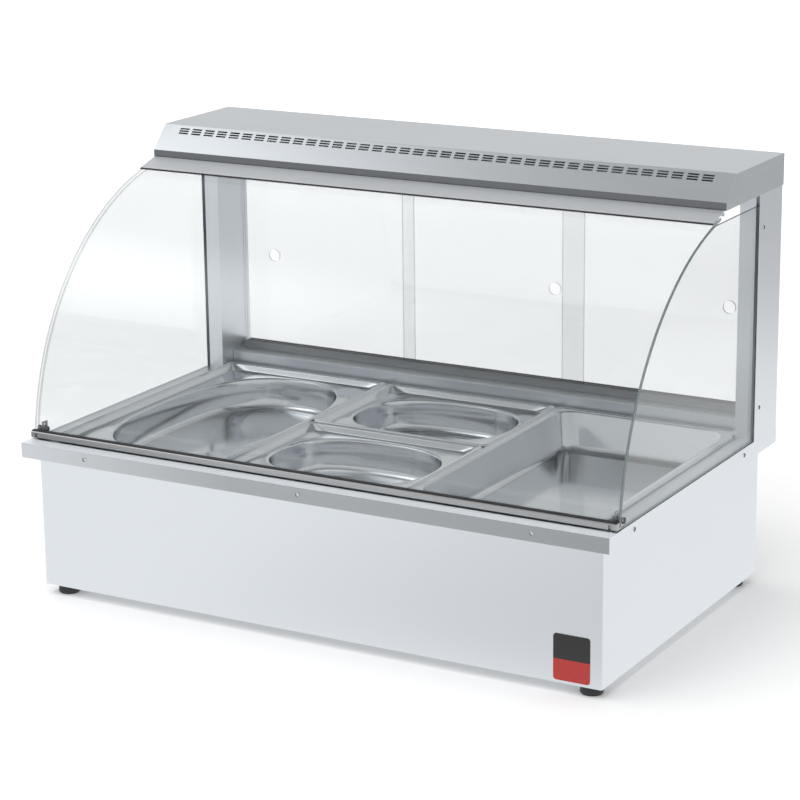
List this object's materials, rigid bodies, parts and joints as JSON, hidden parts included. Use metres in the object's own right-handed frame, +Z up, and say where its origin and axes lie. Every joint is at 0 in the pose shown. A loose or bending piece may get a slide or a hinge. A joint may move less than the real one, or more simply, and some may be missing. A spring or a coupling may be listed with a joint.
{
  "type": "hot food display case",
  "caption": "Countertop heated display case with lift-out food pans, a curved tilting front glass, glass ends, sliding rear doors and a heated hood.",
  "frame": {"origin": "on the counter, under the middle of the case", "axes": "+X along the case to the customer's right, +Y from the customer's side to the operator's side, +Z up"},
  "size_m": [1.053, 0.6438, 0.7164],
  "materials": {
    "satin_steel": "satin brushed stainless sheet",
    "pan_steel": "bright polished stainless",
    "trim_steel": "fine brushed stainless trim",
    "inner_steel": "plain mill-finish sheet",
    "reflector_steel": "polished reflector sheet",
    "screw_steel": "bright zinc-plated fasteners",
    "track_aluminium": "dark satin extrusion",
    "glass": "clear toughened glass with grey-green edges",
    "lamp_glass": "frosted lamp glass",
    "black_rubber": "matt black rubber",
    "black_plastic": "black moulded plastic",
    "red_plastic": "red translucent rocker",
    "amber_lens": "amber lens",
    "badge_black": "plain black plate with a red lower band",
    "ceramic": "off-white ceramic",
    "heater_sheath": "heat-tinted steel sheath",
    "insulation": "mineral-fibre blanket",
    "control_plastic": "pale moulded thermoset",
    "wire": "insulated wire"
  },
  "bodies": {
    "case": {"base_shell": "satin_steel", "bottom_panel": "inner_steel", "rear_panel": "satin_steel", "feet": "black_rubber", "foot_bolts": "screw_steel", "name_plate": "badge_black", "deck": "satin_steel", "deck_screws": "screw_steel", "well_tank": "pan_steel", "well_heaters": "heater_sheath", "heater_straps": "inner_steel", "insulation": "insulation", "pan_bars": "pan_steel", "rear_ledge": "satin_steel", "lower_door_track": "track_aluminium", "upper_door_track": "track_aluminium", "left_post": "satin_steel", "right_post": "satin_steel", "post_screws": "screw_steel", "hood_shell": "satin_steel", "hood_inner_panel": "inner_steel", "reflector": "reflector_steel", "overhead_heaters": "heater_sheath", "heater_holders": "ceramic", "lamp_tubes": "lamp_glass", "lamp_sockets": "ceramic", "glass_stops": "black_rubber", "left_side_glass": "glass", "right_side_glass": "glass", "hinge_brackets": "trim_steel", "glass_bolts": "screw_steel", "glass_spacers": "black_rubber", "switch_housing": "black_plastic", "thermostats": "control_plastic", "indicator_light": "amber_lens", "terminal_block": "control_plastic", "wiring": "wire", "cord_gland": "black_plastic"},
    "front_glass_unit": {"front_glass": "glass", "glass_bottom_rail": "trim_steel", "rail_gasket": "black_rubber", "glass_top_trim": "trim_steel", "trim_gasket": "black_rubber", "hinge_pins": "screw_steel"},
    "left_sliding_door": {"left_door": "glass"},
    "middle_sliding_door": {"middle_door": "glass"},
    "right_sliding_door": {"right_door": "glass"},
    "left_food_pan": {"left_pan": "pan_steel"},
    "middle_rear_food_pan": {"middle_rear_pan": "pan_steel"},
    "middle_front_food_pan": {"middle_front_pan": "pan_steel"},
    "right_food_pan": {"right_pan": "pan_steel"},
    "power_switch": {"power_rocker": "red_plastic"},
    "well_heat_knob": {"well_knob": "black_plastic"},
    "overhead_heat_knob": {"overhead_knob": "black_plastic"}
  },
  "joints": [
    {"name": "glass_tilt", "type": "hinge", "parent": "case", "child": "front_glass_unit", "pos_m": [0, -0.2905, 0.2688], "axis": [1, 0, 0], "range_deg": [0, 80]},
    {"name": "left_door_slide", "type": "slide", "parent": "case", "child": "left_sliding_door", "axis": [1, 0, 0], "range_m": [0, 0.28]},
    {"name": "middle_door_slide", "type": "slide", "parent": "case", "child": "middle_sliding_door", "axis": [1, 0, 0], "range_m": [-0.325, 0.298]},
    {"name": "right_door_slide", "type": "slide", "parent": "case", "child": "right_sliding_door", "axis": [1, 0, 0], "range_m": [-0.28, 0]},
    {"name": "left_pan_lift", "type": "slide", "parent": "case", "child": "left_food_pan", "axis": [0, 0.2588, 0.9659], "range_m": [0, 0.13]},
    {"name": "middle_rear_pan_lift", "type": "slide", "parent": "case", "child": "middle_rear_food_pan", "axis": [0, 0.2588, 0.9659], "range_m": [0, 0.13]},
    {"name": "middle_front_pan_lift", "type": "slide", "parent": "case", "child": "middle_front_food_pan", "axis": [0, 0.2588, 0.9659], "range_m": [0, 0.13]},
    {"name": "right_pan_lift", "type": "slide", "parent": "case", "child": "right_food_pan", "axis": [0, 0.2588, 0.9659], "range_m": [0, 0.13]},
    {"name": "power_rock", "type": "hinge", "parent": "case", "child": "power_switch", "pos_m": [-0.33, 0.2913, 0.058], "axis": [1, 0, 0], "range_deg": [0, 12]},
    {"name": "well_knob_turn", "type": "hinge", "parent": "case", "child": "well_heat_knob", "pos_m": [-0.22, 0.2955, 0.058], "axis": [0, 1, 0], "range_deg": [0, 270]},
    {"name": "overhead_knob_turn", "type": "hinge", "parent": "case", "child": "overhead_heat_knob", "pos_m": [-0.14, 0.2955, 0.058], "axis": [0, 1, 0], "range_deg": [0, 270]}
  ]
}
